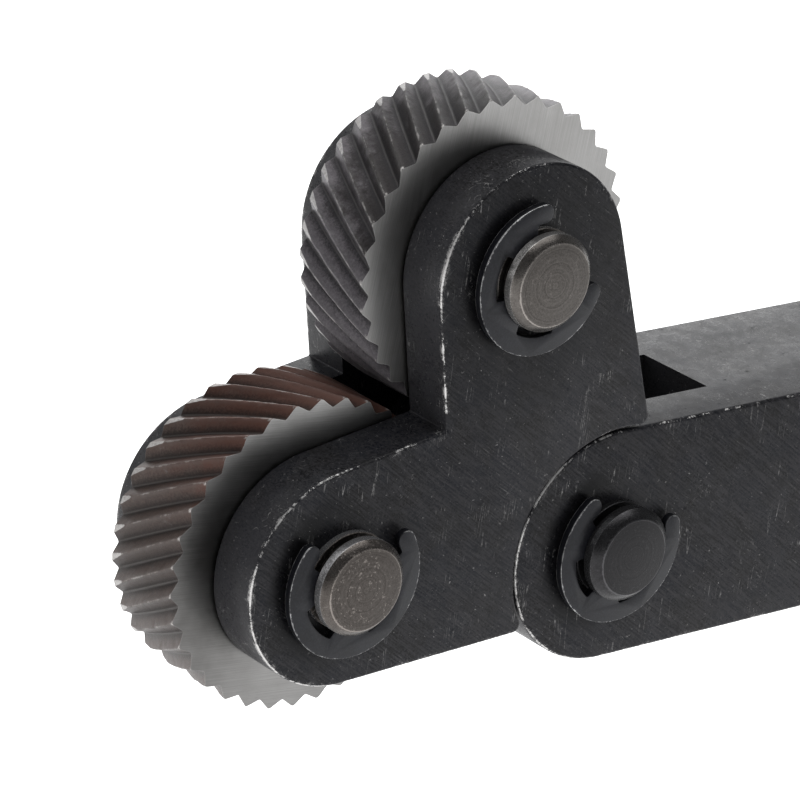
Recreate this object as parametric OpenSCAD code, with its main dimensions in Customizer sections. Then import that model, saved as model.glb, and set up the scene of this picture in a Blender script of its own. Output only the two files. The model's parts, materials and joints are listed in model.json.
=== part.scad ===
// Two-wheel knurling tool: a swinging head with a pair of helical wheels of opposite hand, on a
// rectangular shank. The head swivels on its pivot pin so that both wheels bear equally on the work.
// X runs along the shank to the rear, Y across it and Z up. The origin is in the middle of the
// shank's flat underside, where a tool post clamps it.

/* [Shank] */
// Height of the shank
shank_h = 20; // [18:0.5:25]
// Width of the shank
shank_w = 17.5; // [16:0.5:22]
// Length from the pivot to the rear end
shank_len = 95; // [60:1:160]
// Depth of the slot behind the pivot
slot_depth = 13; // [12:0.5:20]
// Bevel along the shank's long edges
shank_bevel = 0.4; // [0.1:0.1:1]
// Bevel round the rear end
rear_bevel = 1; // [0.2:0.1:2]

/* [Head] */
// Distance from the pivot to each wheel pin
pin_reach = 27.6; // [27:0.1:34]
// Angle between the head's centre line and each wheel pin
pin_spread = 30; // [29:0.5:34]
// Width of the head over its cheeks
head_w = 18.3; // [16:0.1:24]
// Radius of the two lobes round the wheel pins
lobe_r = 9.1; // [8:0.1:10]
// Angle of the notch's sides to the centre line
notch_angle = 45; // [40:1:50]
// Angle of the outer edges to the centre line
edge_angle = 38; // [34:1:42]
// Bevel across the head's rear corners
corner_bevel = 0.6; // [0.3:0.1:1]
// Thickness of the tongue between the shank's ears
tongue_t = 8; // [6:0.5:9]
// Angle that the head is swung up, against its stop
head_swing = 35.5; // [20:0.5:36]

/* [Wheels] */
// Diameter over the teeth
wheel_d = 26; // [22:0.5:26]
// Width of a wheel
wheel_w = 8.2; // [6:0.1:9]
// Number of teeth
teeth = 34; // [24:1:48]
// Depth of the tooth grooves
tooth_depth = 0.75; // [0.4:0.05:1]
// Width of the land along each tooth's tip
tooth_land = 0.12; // [0.05:0.01:0.3]
// Helix angle of the teeth
helix_angle = 30; // [15:1:35]
// Length of the bevel on one end of the teeth
tooth_bevel = 1.5; // [0.5:0.1:3]
// Depth of that bevel at the wheel's side
bevel_drop = 0.2; // [0.1:0.05:0.6]
// Phase of the upper wheel's teeth
upper_phase = 118.8; // [0:0.1:360]
// Phase of the lower wheel's teeth
lower_phase = 120.8; // [0:0.1:360]

/* [Pins] */
// Diameter of the wheel pins
pin_d = 8; // [6:0.5:8]
// Diameter of the pivot pin
pivot_d = 8; // [6:0.5:8]
// Length of a wheel pin beyond its clip
pin_end = 1.35; // [0.8:0.05:2]
// Length of the pivot pin beyond its clip
pivot_end = 1.6; // [0.8:0.05:2]
// Bevel on the ends of the wheel pins
pin_bevel = 0.35; // [0.1:0.05:0.7]
// Bevel on the ends of the pivot pin
pivot_bevel = 0.7; // [0.1:0.05:0.75]

/* [Clips] */
// Thickness of an E-clip
clip_t = 0.7; // [0.5:0.05:1]
// Diameter over an E-clip
clip_d = 12.5; // [11.5:0.1:13]
// Depth of the groove that an E-clip sits in
groove_depth = 1; // [0.6:0.05:1.2]
// Room that a clip has between the groove's walls and itself, on each side
groove_play = 0.02; // [0.01:0.01:0.05]

/* [Fits] */
// Gap left between a clip and the face beside it, on each side
clip_play = 0.3; // [0.1:0.05:0.5]
// Distance that the pins have slid to the left
pin_float = 0.28; // [0:0.02:0.28]
// Radial clearance between a wheel's bore and its pin
wheel_clear = 0.05; // [0.02:0.01:0.09]
// Radial clearance between the head's pivot bore and the pivot pin
pivot_clear = 0.05; // [0.02:0.01:0.09]
// Radial clearance of a pin where it is held
hold_clear = 0.01; // [0.01:0.01:0.03]
// Clearance on each side of a wheel in the head
side_clear = 0.3; // [0.15:0.05:0.5]
// Clearance on each side of the tongue in the shank's slot
tongue_clear = 0.05; // [0.03:0.01:0.15]
// Clearance between the wheels' teeth and the pockets that hold them
tooth_clear = 0.6; // [0.4:0.1:1]
// Clearance between the shank's round ears and the head's steps
ear_clear = 0.4; // [0.2:0.05:0.45]

/* [Hidden] */
$fn = 96;

// Finishes
black_oxide = "#2c2c30";
ground_steel = "#9a9a98";
turned_steel = "#77706a";
spring_steel = "#3a3c42";

// The side on which a feature lies
left = -1;
right = 1;

// Depth that a cut runs past the face it opens through
over = 1;

// Ears and pivot
ear_r = shank_h / 2;
pivot_z = shank_h / 2;
slot_w = tongue_t + 2 * tongue_clear;
// The pivot's distance in front of the origin, which is the middle of the unslotted bar
pivot_x = -(slot_depth + shank_len) / 2;

// Lobes, in the head's own plane: the pivot is the origin and the centre line runs along -X
lobe_x = pin_reach * cos(pin_spread);
lobe_z = pin_reach * sin(pin_spread);
step_r = ear_r + ear_clear;
tongue_r = ear_r;

// Notch between the lobes, with its sides tangent to them
notch_x = lobe_x + (lobe_r - lobe_z * cos(notch_angle)) / sin(notch_angle);
notch_tangent = [lobe_x + lobe_r * sin(notch_angle), lobe_z - lobe_r * cos(notch_angle)];

// Outer edges, tangent to the lobes; edge_foot is where each passes closest to the pivot
edge_tangent = [lobe_x - lobe_r * sin(edge_angle), lobe_z + lobe_r * cos(edge_angle)];
edge_offset = lobe_r + lobe_z * cos(edge_angle) - lobe_x * sin(edge_angle);
edge_foot = edge_offset * [-sin(edge_angle), cos(edge_angle)];

// Rear corners, where the outer edges meet the steps: each bevel starts on the edge and ends
// inside the step
edge_run = sqrt(pow(step_r, 2) - pow(edge_offset, 2));
edge_line = [cos(edge_angle), sin(edge_angle)];
corner = edge_foot + edge_run * edge_line;
corner_start = edge_foot + (edge_run + corner_bevel) * edge_line;
corner_turn = atan2(corner.y, corner.x) - corner_bevel / step_r * 180 / PI;
corner_end = (step_r - over) * [cos(corner_turn), sin(corner_turn)];

// Pockets for the wheels
wheel_r = wheel_d / 2;
pocket_r = wheel_r + tooth_clear;
pocket_w = wheel_w + 2 * side_clear;
// The web between the two pockets is cut back to where it is this thick
web_t = 5;
web_x = lobe_x - sqrt(pow(pocket_r, 2) - pow(lobe_z - web_t / 2, 2));

// Teeth
root_r = wheel_r - tooth_depth;
tooth_step = 360 / teeth;
land_angle = tooth_land / 2 / wheel_r * 180 / PI;
wheel_twist = wheel_w * tan(helix_angle) / wheel_r * 180 / PI;
tooth_slices = 8;
bevel_slope = bevel_drop / tooth_bevel;

// E-clips
groove_w = clip_t + 2 * groove_play;
clip_r = clip_d / 2;
// Width of the clip's band, its rounded tips and the half angle between them
clip_band = 1.55;
clip_opening = 57;
// The pads that grip the groove: two prongs beside the opening and a tab opposite it
prong_angles = [68, 108];
tab_half_angle = 20;

// Directions that the clips' openings face, in the plane of their own body
upper_left_open = 73;
upper_right_open = 215;
lower_left_open = 123;
lower_right_open = 260;
pivot_left_open = 71;
pivot_right_open = 130;

// Placing

// Turns a flat outline in X and Z into a solid of thickness t, centred on Y = 0
module across(t) {
    rotate([90, 0, 0])
        linear_extrude(t, center = true)
            children();
}

// A round bar of radius r along Y from y0 to y1
module bar_y(r, y0, y1) {
    translate([0, y0, 0])
        rotate([-90, 0, 0])
            cylinder(r = r, h = y1 - y0);
}

// Carries a solid modelled about the pivot to its place in front of the shank
module at_pivot() {
    translate([pivot_x, 0, pivot_z])
        children();
}

// Carries a solid modelled with the head straight ahead to the head's place at rest
module on_head() {
    at_pivot()
        rotate([0, head_swing, 0])
            children();
}

// Carries a solid modelled about the Y axis to a wheel pin: up is 1 for the upper and -1 for the lower
module at_lobe(up) {
    translate([-lobe_x, 0, up * lobe_z])
        children();
}

// Shank

// Corners of a rectangle with bevelled corners
function bevelled(w, h, b) = [
    [b - w / 2, -h / 2], [w / 2 - b, -h / 2], [w / 2, b - h / 2], [w / 2, h / 2 - b],
    [w / 2 - b, h / 2], [b - w / 2, h / 2], [-w / 2, h / 2 - b], [-w / 2, b - h / 2]
];

module shank_side() {
    circle(r = ear_r);
    intersection() {
        translate([0, -ear_r])
            square([shank_len, shank_h]);
        polygon(bevelled(2 * shank_len, shank_h, rear_bevel));
    }
}

module shank() {
    color(black_oxide)
        at_pivot()
            difference() {
                intersection() {
                    across(shank_w) shank_side();
                    translate([-ear_r, 0, 0])
                        rotate([90, 0, 90])
                            linear_extrude(ear_r + shank_len)
                                polygon(bevelled(shank_w, shank_h, shank_bevel));
                }
                translate([-ear_r - over, -slot_w / 2, -ear_r - over])
                    cube([ear_r + over + slot_depth, slot_w, shank_h + 2 * over]);
                bar_y(pivot_d / 2 + hold_clear, -shank_w, shank_w);
            }
}

// Head

// The cheeks' outline with the head straight ahead
module head_outline() {
    polygon([
        [-notch_x, 0],
        [-notch_tangent.x, notch_tangent.y],
        [-edge_tangent.x, edge_tangent.y],
        [-corner_start.x, corner_start.y],
        [-corner_end.x, corner_end.y],
        [-corner_end.x, -corner_end.y],
        [-corner_start.x, -corner_start.y],
        [-edge_tangent.x, -edge_tangent.y],
        [-notch_tangent.x, -notch_tangent.y]
    ]);
    for (up = [1, -1])
        translate([-lobe_x, up * lobe_z])
            circle(r = lobe_r);
}

module head() {
    color(black_oxide)
        on_head()
            difference() {
                union() {
                    difference() {
                        across(head_w) head_outline();
                        // Steps that clear the shank's ears on both sides of the tongue
                        bar_y(step_r, tongue_t / 2, head_w);
                        bar_y(step_r, -head_w, -tongue_t / 2);
                    }
                    bar_y(tongue_r, -tongue_t / 2, tongue_t / 2);
                }
                for (up = [1, -1])
                    at_lobe(up) {
                        bar_y(pocket_r, -pocket_w / 2, pocket_w / 2);
                        bar_y(pin_d / 2 + hold_clear, -head_w, head_w);
                    }
                // The thin part of the web between the two pockets is cut away
                translate([-notch_x - over, -pocket_w / 2, -web_t / 2 - over])
                    cube([notch_x + over - web_x, pocket_w, web_t + 2 * over]);
                bar_y(pivot_d / 2 + pivot_clear, -head_w, head_w);
            }
}

// Wheels

// Outline of the teeth with one tip on the X axis
module tooth_outline() {
    // The two edges of a tooth's land and the bottom of the groove after it, as radius and angle
    corners = [[wheel_r, -land_angle], [wheel_r, land_angle], [root_r, tooth_step / 2]];
    polygon([
        for (k = [0 : teeth - 1], corner = corners)
            let (angle = k * tooth_step + corner[1])
            corner[0] * [cos(angle), sin(angle)]
    ]);
}

// A wheel about the Y axis. phase is the direction of a tooth's tip at the left face, and hand is
// 1 where the teeth climb from left to right and -1 where they fall
module wheel(phase, hand) {
    color(ground_steel)
        difference() {
            intersection() {
                translate([0, -wheel_w / 2, 0])
                    rotate([-90, 0, 0])
                        rotate(-phase)
                            linear_extrude(wheel_w, twist = hand * wheel_twist, slices = tooth_slices)
                                tooth_outline();
                // The bevel on the right-hand ends of the teeth
                rotate([-90, 0, 0])
                    rotate_extrude()
                        polygon([
                            [0, -wheel_w / 2 - over],
                            [wheel_r + over * bevel_slope, -wheel_w / 2 - over],
                            [wheel_r + over * bevel_slope, wheel_w / 2 - tooth_bevel - over],
                            [wheel_r - bevel_drop - over * bevel_slope, wheel_w / 2 + over],
                            [0, wheel_w / 2 + over]
                        ]);
            }
            bar_y(pin_d / 2 + wheel_clear, -wheel_w, wheel_w);
        }
}

module upper_wheel() {
    on_head() at_lobe(1) rotate([0, -head_swing, 0]) wheel(upper_phase, -1);
}

module lower_wheel() {
    on_head() at_lobe(-1) rotate([0, -head_swing, 0]) wheel(lower_phase, 1);
}

// Pins

// A pin about the Y axis with a groove near each end. grip is the width that it holds between its
// clips, end the length beyond a clip and bevel that of its ends
module pin(d, grip, end, bevel) {
    inner = grip / 2 + clip_play - groove_play;
    outer = inner + groove_w;
    tip = outer + end;
    r = d / 2;
    groove_r = r - groove_depth;
    color(turned_steel)
        translate([0, -pin_float, 0])
            rotate([-90, 0, 0])
                rotate_extrude()
                    polygon([
                        [0, -tip], [r - bevel, -tip], [r, bevel - tip],
                        [r, -outer], [groove_r, -outer], [groove_r, -inner], [r, -inner],
                        [r, inner], [groove_r, inner], [groove_r, outer], [r, outer],
                        [r, tip - bevel], [r - bevel, tip], [0, tip]
                    ]);
}

module upper_wheel_pin() {
    on_head() at_lobe(1) pin(pin_d, head_w, pin_end, pin_bevel);
}

module lower_wheel_pin() {
    on_head() at_lobe(-1) pin(pin_d, head_w, pin_end, pin_bevel);
}

module pivot_pin() {
    at_pivot() pin(pivot_d, shank_w, pivot_end, pivot_bevel);
}

// E-clips

// A wedge from angle a to angle b, wide enough to cover a clip
module wedge(a, b) {
    reach = clip_d;
    mid = (a + b) / 2;
    polygon([[0, 0], [reach * cos(a), reach * sin(a)], [reach * cos(mid), reach * sin(mid)],
             [reach * cos(b), reach * sin(b)]]);
}

// A clip's outline, its opening facing along X
module clip_outline(grip_r) {
    band_r = clip_r - clip_band / 2;
    difference() {
        circle(r = clip_r);
        circle(r = clip_r - clip_band);
        wedge(-clip_opening, clip_opening);
    }
    for (side = [-1, 1])
        translate([band_r * cos(clip_opening), side * band_r * sin(clip_opening)])
            circle(r = clip_band / 2);
    difference() {
        intersection() {
            circle(r = band_r);
            union() {
                wedge(prong_angles[0], prong_angles[1]);
                wedge(-prong_angles[1], -prong_angles[0]);
                wedge(180 - tab_half_angle, 180 + tab_half_angle);
            }
        }
        circle(r = grip_r);
    }
}

// A clip about the Y axis on the given side of a pin of diameter d that holds the width grip
module clip(d, grip, side, opening) {
    color(spring_steel)
        translate([0, side * (grip / 2 + clip_play + clip_t / 2) - pin_float, 0])
            across(clip_t)
                rotate(opening)
                    clip_outline(d / 2 - groove_depth + groove_play);
}

module upper_left_clip() {
    on_head() at_lobe(1) clip(pin_d, head_w, left, upper_left_open);
}

module upper_right_clip() {
    on_head() at_lobe(1) clip(pin_d, head_w, right, upper_right_open);
}

module lower_left_clip() {
    on_head() at_lobe(-1) clip(pin_d, head_w, left, lower_left_open);
}

module lower_right_clip() {
    on_head() at_lobe(-1) clip(pin_d, head_w, right, lower_right_open);
}

module pivot_left_clip() {
    at_pivot() clip(pivot_d, shank_w, left, pivot_left_open);
}

module pivot_right_clip() {
    at_pivot() clip(pivot_d, shank_w, right, pivot_right_open);
}

shank();
head();
upper_wheel();
lower_wheel();
upper_wheel_pin();
lower_wheel_pin();
pivot_pin();
upper_left_clip();
upper_right_clip();
lower_left_clip();
lower_right_clip();
pivot_left_clip();
pivot_right_clip();
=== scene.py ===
# %% [markdown]
# # A two-wheel knurling tool
# A knurling tool presses a diamond pattern into a bar that turns in a lathe. Two small hardened
# wheels with slanting teeth of opposite hand sit in a head, and the head swivels on the end of a
# rectangular shank so that both wheels bear on the work alike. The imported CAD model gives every
# size and joint here. Blender's work is the finish: real edge breaks, teeth with a turned land
# and end bevels, and the wear that such a tool has when it leaves the drawer.

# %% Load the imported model
import json
import math

import bmesh
import bpy
import numpy as np
from mathutils import Matrix, Vector


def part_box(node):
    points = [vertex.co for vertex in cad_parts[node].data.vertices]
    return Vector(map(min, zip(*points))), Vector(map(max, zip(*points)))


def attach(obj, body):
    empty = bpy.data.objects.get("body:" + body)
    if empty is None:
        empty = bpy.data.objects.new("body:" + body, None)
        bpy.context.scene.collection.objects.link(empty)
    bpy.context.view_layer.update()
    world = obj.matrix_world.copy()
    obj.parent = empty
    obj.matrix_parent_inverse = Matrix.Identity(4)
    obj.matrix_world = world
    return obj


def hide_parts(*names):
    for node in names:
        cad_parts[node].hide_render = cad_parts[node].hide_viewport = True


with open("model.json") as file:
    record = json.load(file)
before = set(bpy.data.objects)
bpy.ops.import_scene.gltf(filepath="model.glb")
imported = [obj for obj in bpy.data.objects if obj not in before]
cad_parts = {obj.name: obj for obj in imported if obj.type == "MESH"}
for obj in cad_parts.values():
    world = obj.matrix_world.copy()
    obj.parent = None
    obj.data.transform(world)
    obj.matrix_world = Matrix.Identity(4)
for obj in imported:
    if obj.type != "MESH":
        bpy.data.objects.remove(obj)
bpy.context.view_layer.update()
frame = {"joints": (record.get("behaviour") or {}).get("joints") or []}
MM = 0.001

# %% [markdown]
# ## Where things are
# The joints say where the pivot and the two wheel pins are, so nothing is placed by eye. The
# head's centre line runs from the pivot to the middle between the two pins, and its tilt is how
# far the head is swung up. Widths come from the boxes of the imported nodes.

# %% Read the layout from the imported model
joint_at = {j["name"]: Vector(j["pos_m"]) for j in frame["joints"]}
PIVOT = joint_at["head_pivot"]
PIN_AT = {"upper": joint_at["upper_wheel_spin"], "lower": joint_at["lower_wheel_spin"]}
between = (PIN_AT["upper"] + PIN_AT["lower"]) / 2 - PIVOT
SWING = math.atan2(between.z, -between.x)
LOBE_X = between.length
LOBE_Z = (PIN_AT["upper"] - PIN_AT["lower"]).length / 2
shank_box, head_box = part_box("shank"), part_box("head")
wheel_box, pin_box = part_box("upper_wheel"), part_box("upper_wheel_pin")
SHANK_H = shank_box[1].z - shank_box[0].z
SHANK_W = shank_box[1].y - shank_box[0].y
HEAD_W = head_box[1].y - head_box[0].y
WHEEL_W = wheel_box[1].y - wheel_box[0].y
WHEEL_R, LOBE_R = 13 * MM, 9.1 * MM
NOTCH = 45  # half of the angle between the notch's two walls, in degrees
notch_lean = math.radians(NOTCH)
notch_x = LOBE_X + (LOBE_R - LOBE_Z * math.cos(notch_lean)) / math.sin(notch_lean)
NOTCH_AT = PIVOT + Vector((-math.cos(SWING), 0, math.sin(SWING))) * notch_x
print("swing", round(math.degrees(SWING), 2), "degrees, lobes at",
      [round(v / MM, 2) for v in (LOBE_X, LOBE_Z)], "mm")

# %% [markdown]
# ## Camera
# A long lens from the front left and a little above shows both wheels' teeth and the near cheek
# at once, which is how such a tool is shown. The camera is aimed at a point just ahead of the
# pivot and rolled by a few degrees. It comes first, because everything after it is judged
# through it.

# %% Make the camera
CAMERA_TARGET = Vector((-70.22, 0, 22.25)) * MM
CAMERA_TURN, CAMERA_RISE, CAMERA_ROLL = (math.radians(a) for a in (-39.16, 20.96, 5.06))
CAMERA_DISTANCE = 353.4 * MM
CAMERA_LENS, CAMERA_SENSOR = 200.4, 36  # in mm, as Blender gives them
back = Vector((math.sin(CAMERA_TURN) * math.cos(CAMERA_RISE),
               -math.cos(CAMERA_TURN) * math.cos(CAMERA_RISE), math.sin(CAMERA_RISE)))
right = Vector((math.cos(CAMERA_TURN), math.sin(CAMERA_TURN), 0))
up = back.cross(right)
rolled_right = right * math.cos(CAMERA_ROLL) + up * math.sin(CAMERA_ROLL)
rolled_up = up * math.cos(CAMERA_ROLL) - right * math.sin(CAMERA_ROLL)
camera = bpy.data.objects.new("camera", bpy.data.cameras.new("camera"))
camera.data.lens, camera.data.sensor_width = CAMERA_LENS, CAMERA_SENSOR
camera.data.clip_start, camera.data.clip_end = 0.01, 20
turned = Matrix((rolled_right, rolled_up, back)).transposed().to_4x4()
camera.matrix_world = Matrix.Translation(CAMERA_TARGET + back * CAMERA_DISTANCE) @ turned
bpy.context.scene.collection.objects.link(camera)
bpy.context.scene.camera = camera
print("camera at", [round(v / MM, 1) for v in camera.matrix_world.translation])

# %% [markdown]
# ## Shader expressions
# A finish is a recipe of numbers: how worn, how rough, how dark. Written as nodes alone, such a
# recipe is hard to read, so one small class wraps a node's output and turns Python's operators
# into Math nodes: 1 - mask adds a Subtract node. Every other node comes from one method that
# sets the node up and plugs it in. Places are in mm, so a noise scale is in waves per mm.

# %% A socket that can be calculated with
class Link:
    """A node's output that Python's operators work on. Its owner adds the Math nodes."""

    def __init__(self, owner, socket):
        self.owner, self.socket = owner, socket

    def __add__(self, other):
        return self.owner.math("ADD", self, other)

    def __radd__(self, other):
        return self.owner.math("ADD", other, self)

    def __sub__(self, other):
        return self.owner.math("SUBTRACT", self, other)

    def __rsub__(self, other):
        return self.owner.math("SUBTRACT", other, self)

    def __mul__(self, other):
        return self.owner.math("MULTIPLY", self, other)

    def __rmul__(self, other):
        return self.owner.math("MULTIPLY", other, self)

    def __truediv__(self, other):
        return self.owner.math("DIVIDE", self, other)

    def __pow__(self, other):
        return self.owner.math("POWER", self, other)

    def __abs__(self):
        return self.owner.math("ABSOLUTE", self)

    def at_least(self, other):
        return self.owner.math("MAXIMUM", self, other)

    def at_most(self, other):
        return self.owner.math("MINIMUM", self, other)

    def rise(self, low, high):
        """0 below low and 1 above high, with a smooth rise between them."""
        settings = {"interpolation_type": "SMOOTHSTEP"}
        return self.owner.node("MapRange", settings, {0: self, 1: low, 2: high, 3: 0.0, 4: 1.0})


def added(tree, kind, settings, sockets):
    """Adds a node to a tree: its settings first, then the values or links of its sockets."""
    made = tree.nodes.new(kind)
    for key, value in (settings or {}).items():
        setattr(made, key, value)
    for key, value in (sockets or {}).items():
        if isinstance(value, Link):
            tree.links.new(value.socket, made.inputs[key])
        else:
            made.inputs[key].default_value = value
    return made


# %% A finish that nodes are added to
class Finish:
    """A material under construction. place is where a point lies on the tool, in mm."""

    def __init__(self, name):
        self.material = bpy.data.materials.new(name)
        self.material.use_nodes = True
        self.tree = self.material.node_tree
        self.tree.nodes.clear()
        self.place = self.node("TexCoord", output="Object").scaled(1 / MM)
        self.bevels = {}

    def node(self, kind, settings=None, sockets=None, output=0):
        """Adds a shader node and returns one output, as a Direction if it holds a vector."""
        made = added(self.tree, "ShaderNode" + kind, settings, sockets)
        if not made.outputs:
            return None
        socket = made.outputs[output]
        return Direction(self, socket) if socket.type == "VECTOR" else Link(self, socket)

    def math(self, operation, *values):
        return self.node("Math", {"operation": operation}, dict(enumerate(values)))

    def noise(self, where, scale, detail, roughness=0.5):
        return self.node("TexNoise", None, {"Vector": where, "Scale": scale, "Detail": detail,
                                            "Roughness": roughness})

    def colour(self, mask, low, high):
        """The colour low where the mask is 0 and high where it is 1."""
        low, high = (c if isinstance(c, Link) else (*c, 1.0) for c in (low, high))
        return self.node("Mix", {"data_type": "RGBA"}, {0: mask, 6: low, 7: high}, 2)

    def flat_normal(self):
        return self.node("NewGeometry", output="True Normal")

    def rounded_normal(self, radius):
        """The normal as if every edge were rounded over by the radius, in metres."""
        if radius not in self.bevels:
            self.bevels[radius] = self.node("Bevel", {"samples": 6}, {"Radius": radius})
        return self.bevels[radius]

    def edges(self, radius):
        """0 on flat surfaces, rising to 1 at every square edge within the radius, in metres.
        At such an edge the two normals are 45 degrees apart, and 1.85 brings that to 1."""
        apart = 1 - self.rounded_normal(radius).dot(self.flat_normal())
        return apart.at_least(0.0) ** 0.5 * 1.85

    def slanting(self):
        """1 on the rounded edge breaks of the side faces, near 0 on the faces and on the rim."""
        lean = abs(self.flat_normal().part("Y"))
        return (1 - abs(lean * 2.0 - 1.2)).rise(0.15, 0.5)

    def from_axis(self, point):
        """Distance in mm from the axis along Y through a point."""
        out = self.place.away_from(point / MM)
        return (out.part("X") ** 2 + out.part("Z") ** 2) ** 0.5

    def scratches(self, angle, thin, long, seed, width):
        """Fine straight lines at an angle in the side faces. thin and long are the waves per mm
        across and along them, and a larger width draws them broader."""
        turned_place = self.place.turned(angle).stretched(long, (thin + long) / 2, thin, seed)
        ridge = abs(self.noise(turned_place, 1.0, 0.0) - 0.5)
        return 1 - ridge.rise(0.0, width)

    def finish(self, base, metallic, roughness, bump, depth, **fixed):
        """Ends the recipe in a Principled shader with a bump of the given depth in metres."""
        normal = self.node("Bump", None, {"Height": bump, "Distance": depth, "Strength": 1.0})
        sockets = {"Base Color": base, "Metallic": metallic, "Roughness": roughness,
                   "Normal": normal}
        shader = self.node("BsdfPrincipled", None, {**sockets, **fixed})
        self.node("OutputMaterial", None, {"Surface": shader})
        return self.material


# %% A direction or a place that can be turned and stretched
class Direction(Link):
    """An output that holds a vector."""

    def vector_math(self, operation, sockets, output=0):
        sockets = {0: self, **sockets}
        return self.owner.node("VectorMath", {"operation": operation}, sockets, output)

    def scaled(self, factor):
        return self.vector_math("SCALE", {"Scale": factor})

    def dot(self, other):
        return self.vector_math("DOT_PRODUCT", {1: other}, "Value")

    def away_from(self, point):
        return self.vector_math("SUBTRACT", {1: tuple(point)})

    def part(self, axis):
        return self.owner.node("SeparateXYZ", None, {0: self}, axis)

    def turned(self, angle):
        settings = {"rotation_type": "Y_AXIS"}
        return self.owner.node("VectorRotate", settings, {"Vector": self, "Angle": angle})

    def stretched(self, x, y, z, shift):
        return self.owner.node("Mapping", None, {"Vector": self, "Scale": (x, y, z),
                                                 "Location": (shift, -shift, shift * 0.7)})


def shade(colour, factor):
    """A colour made lighter or darker, and no lighter than white."""
    return tuple(min(1, c * factor) for c in colour)


print("shader helpers ready; half of (0.8, 0.6, 0.4) is", shade((0.8, 0.6, 0.4), 0.5))

# %% [markdown]
# ## Black oxide
# The shank and the head are machined steel, blackened in a hot salt bath. The film is only about
# a micron thick, so it shows the cutter marks under it, and it rubs through wherever the tool is
# handled: bright broken lines along the edges, fine scratches across the sides and pale dust in
# patches. On top of that the faces that look along −X get a painted light, a lighter grey, a
# painted shadow lies ahead of each clip and the side faces darken round the upper pin. One flat
# black would look like paint. So the Bevel node finds the edges, whatever the mesh, and noise
# breaks the worn line up.

# %% Where the oxide has rubbed through
OXIDE_EDGE = 0.6 * MM


def rubbed_edges(f, patch, chip):
    """1 where the film is gone, in broken lines along the outer edges. The pins' holes, the
    bottom of the notch and the edges of the slots are out of a hand's reach and keep theirs."""
    near_edge = f.edges(OXIDE_EDGE).at_least(f.slanting() * 0.95)
    for point, low, high in ((PIVOT, 4.9, 5.3), (PIN_AT["upper"], 4.9, 5.3),
                             (PIN_AT["lower"], 4.9, 5.3), (NOTCH_AT, 0.8, 1.8)):
        near_edge = near_edge * f.from_axis(point).rise(low, high)
    near_edge = near_edge * (0.25 + abs(f.place.part("Y")).rise(4.4, 5.2) * 0.75)
    rounded = f.rounded_normal(OXIDE_EDGE)
    bias = (patch - 0.5) * 2.4 - rounded.part("X") * 0.55 - rounded.part("Z") * 0.12
    flaked = (chip - 0.5) * 4.0 + (f.noise(f.place, 1.1, 3.0, 0.6) - 0.5) * 2.2
    return (near_edge + flaked + bias).rise(1.08, 1.35) * near_edge.rise(0.30, 0.60)


def scuffs(f, chip):
    """Fine scratches: many along the milling, some across it and a few upright ones."""
    fine = f.scratches(-0.66, 5.0, 0.10, 3.1, 0.012) * f.noise(f.place, 0.34, 2.0).rise(0.50, 0.62)
    cross = f.scratches(0.70, 3.6, 0.08, 7.7, 0.006) * f.noise(f.place, 0.27, 2.0).rise(0.55, 0.66)
    steep = f.scratches(1.52, 2.4, 0.14, 11.3, 0.03) * f.noise(f.place, 0.42, 2.0).rise(0.56, 0.64)
    return (fine * 0.6).at_least(cross * 0.5).at_least(steep) * chip.rise(0.44, 0.58)


# %% Painted shadow by the clips
def painted_clip_shadow_and_tint(f):
    """A painted shadow ahead of each clip, and a darker tint on the side faces round the upper
    pin.
    """
    # each patch is a painted shadow ahead of a clip
    patches = 0.0
    for point in (PIVOT, PIN_AT["upper"], PIN_AT["lower"]):
        ahead = (0.0 - f.place.away_from(point / MM).part("X")).rise(-2.0, 4.0)
        patches = ((1 - f.from_axis(point).rise(6.3, 8.0)) * ahead).at_least(patches)
    on_the_side = abs(f.rounded_normal(OXIDE_EDGE).part("Y"))
    upper_pin_tint = (1 - f.from_axis(PIN_AT["upper"]).rise(7.0, 15.0)) * on_the_side
    return (patches * 0.85).at_least(upper_pin_tint * 0.42)


# %% Black oxide
BARE_STEEL = (0.52, 0.51, 0.50)


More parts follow.
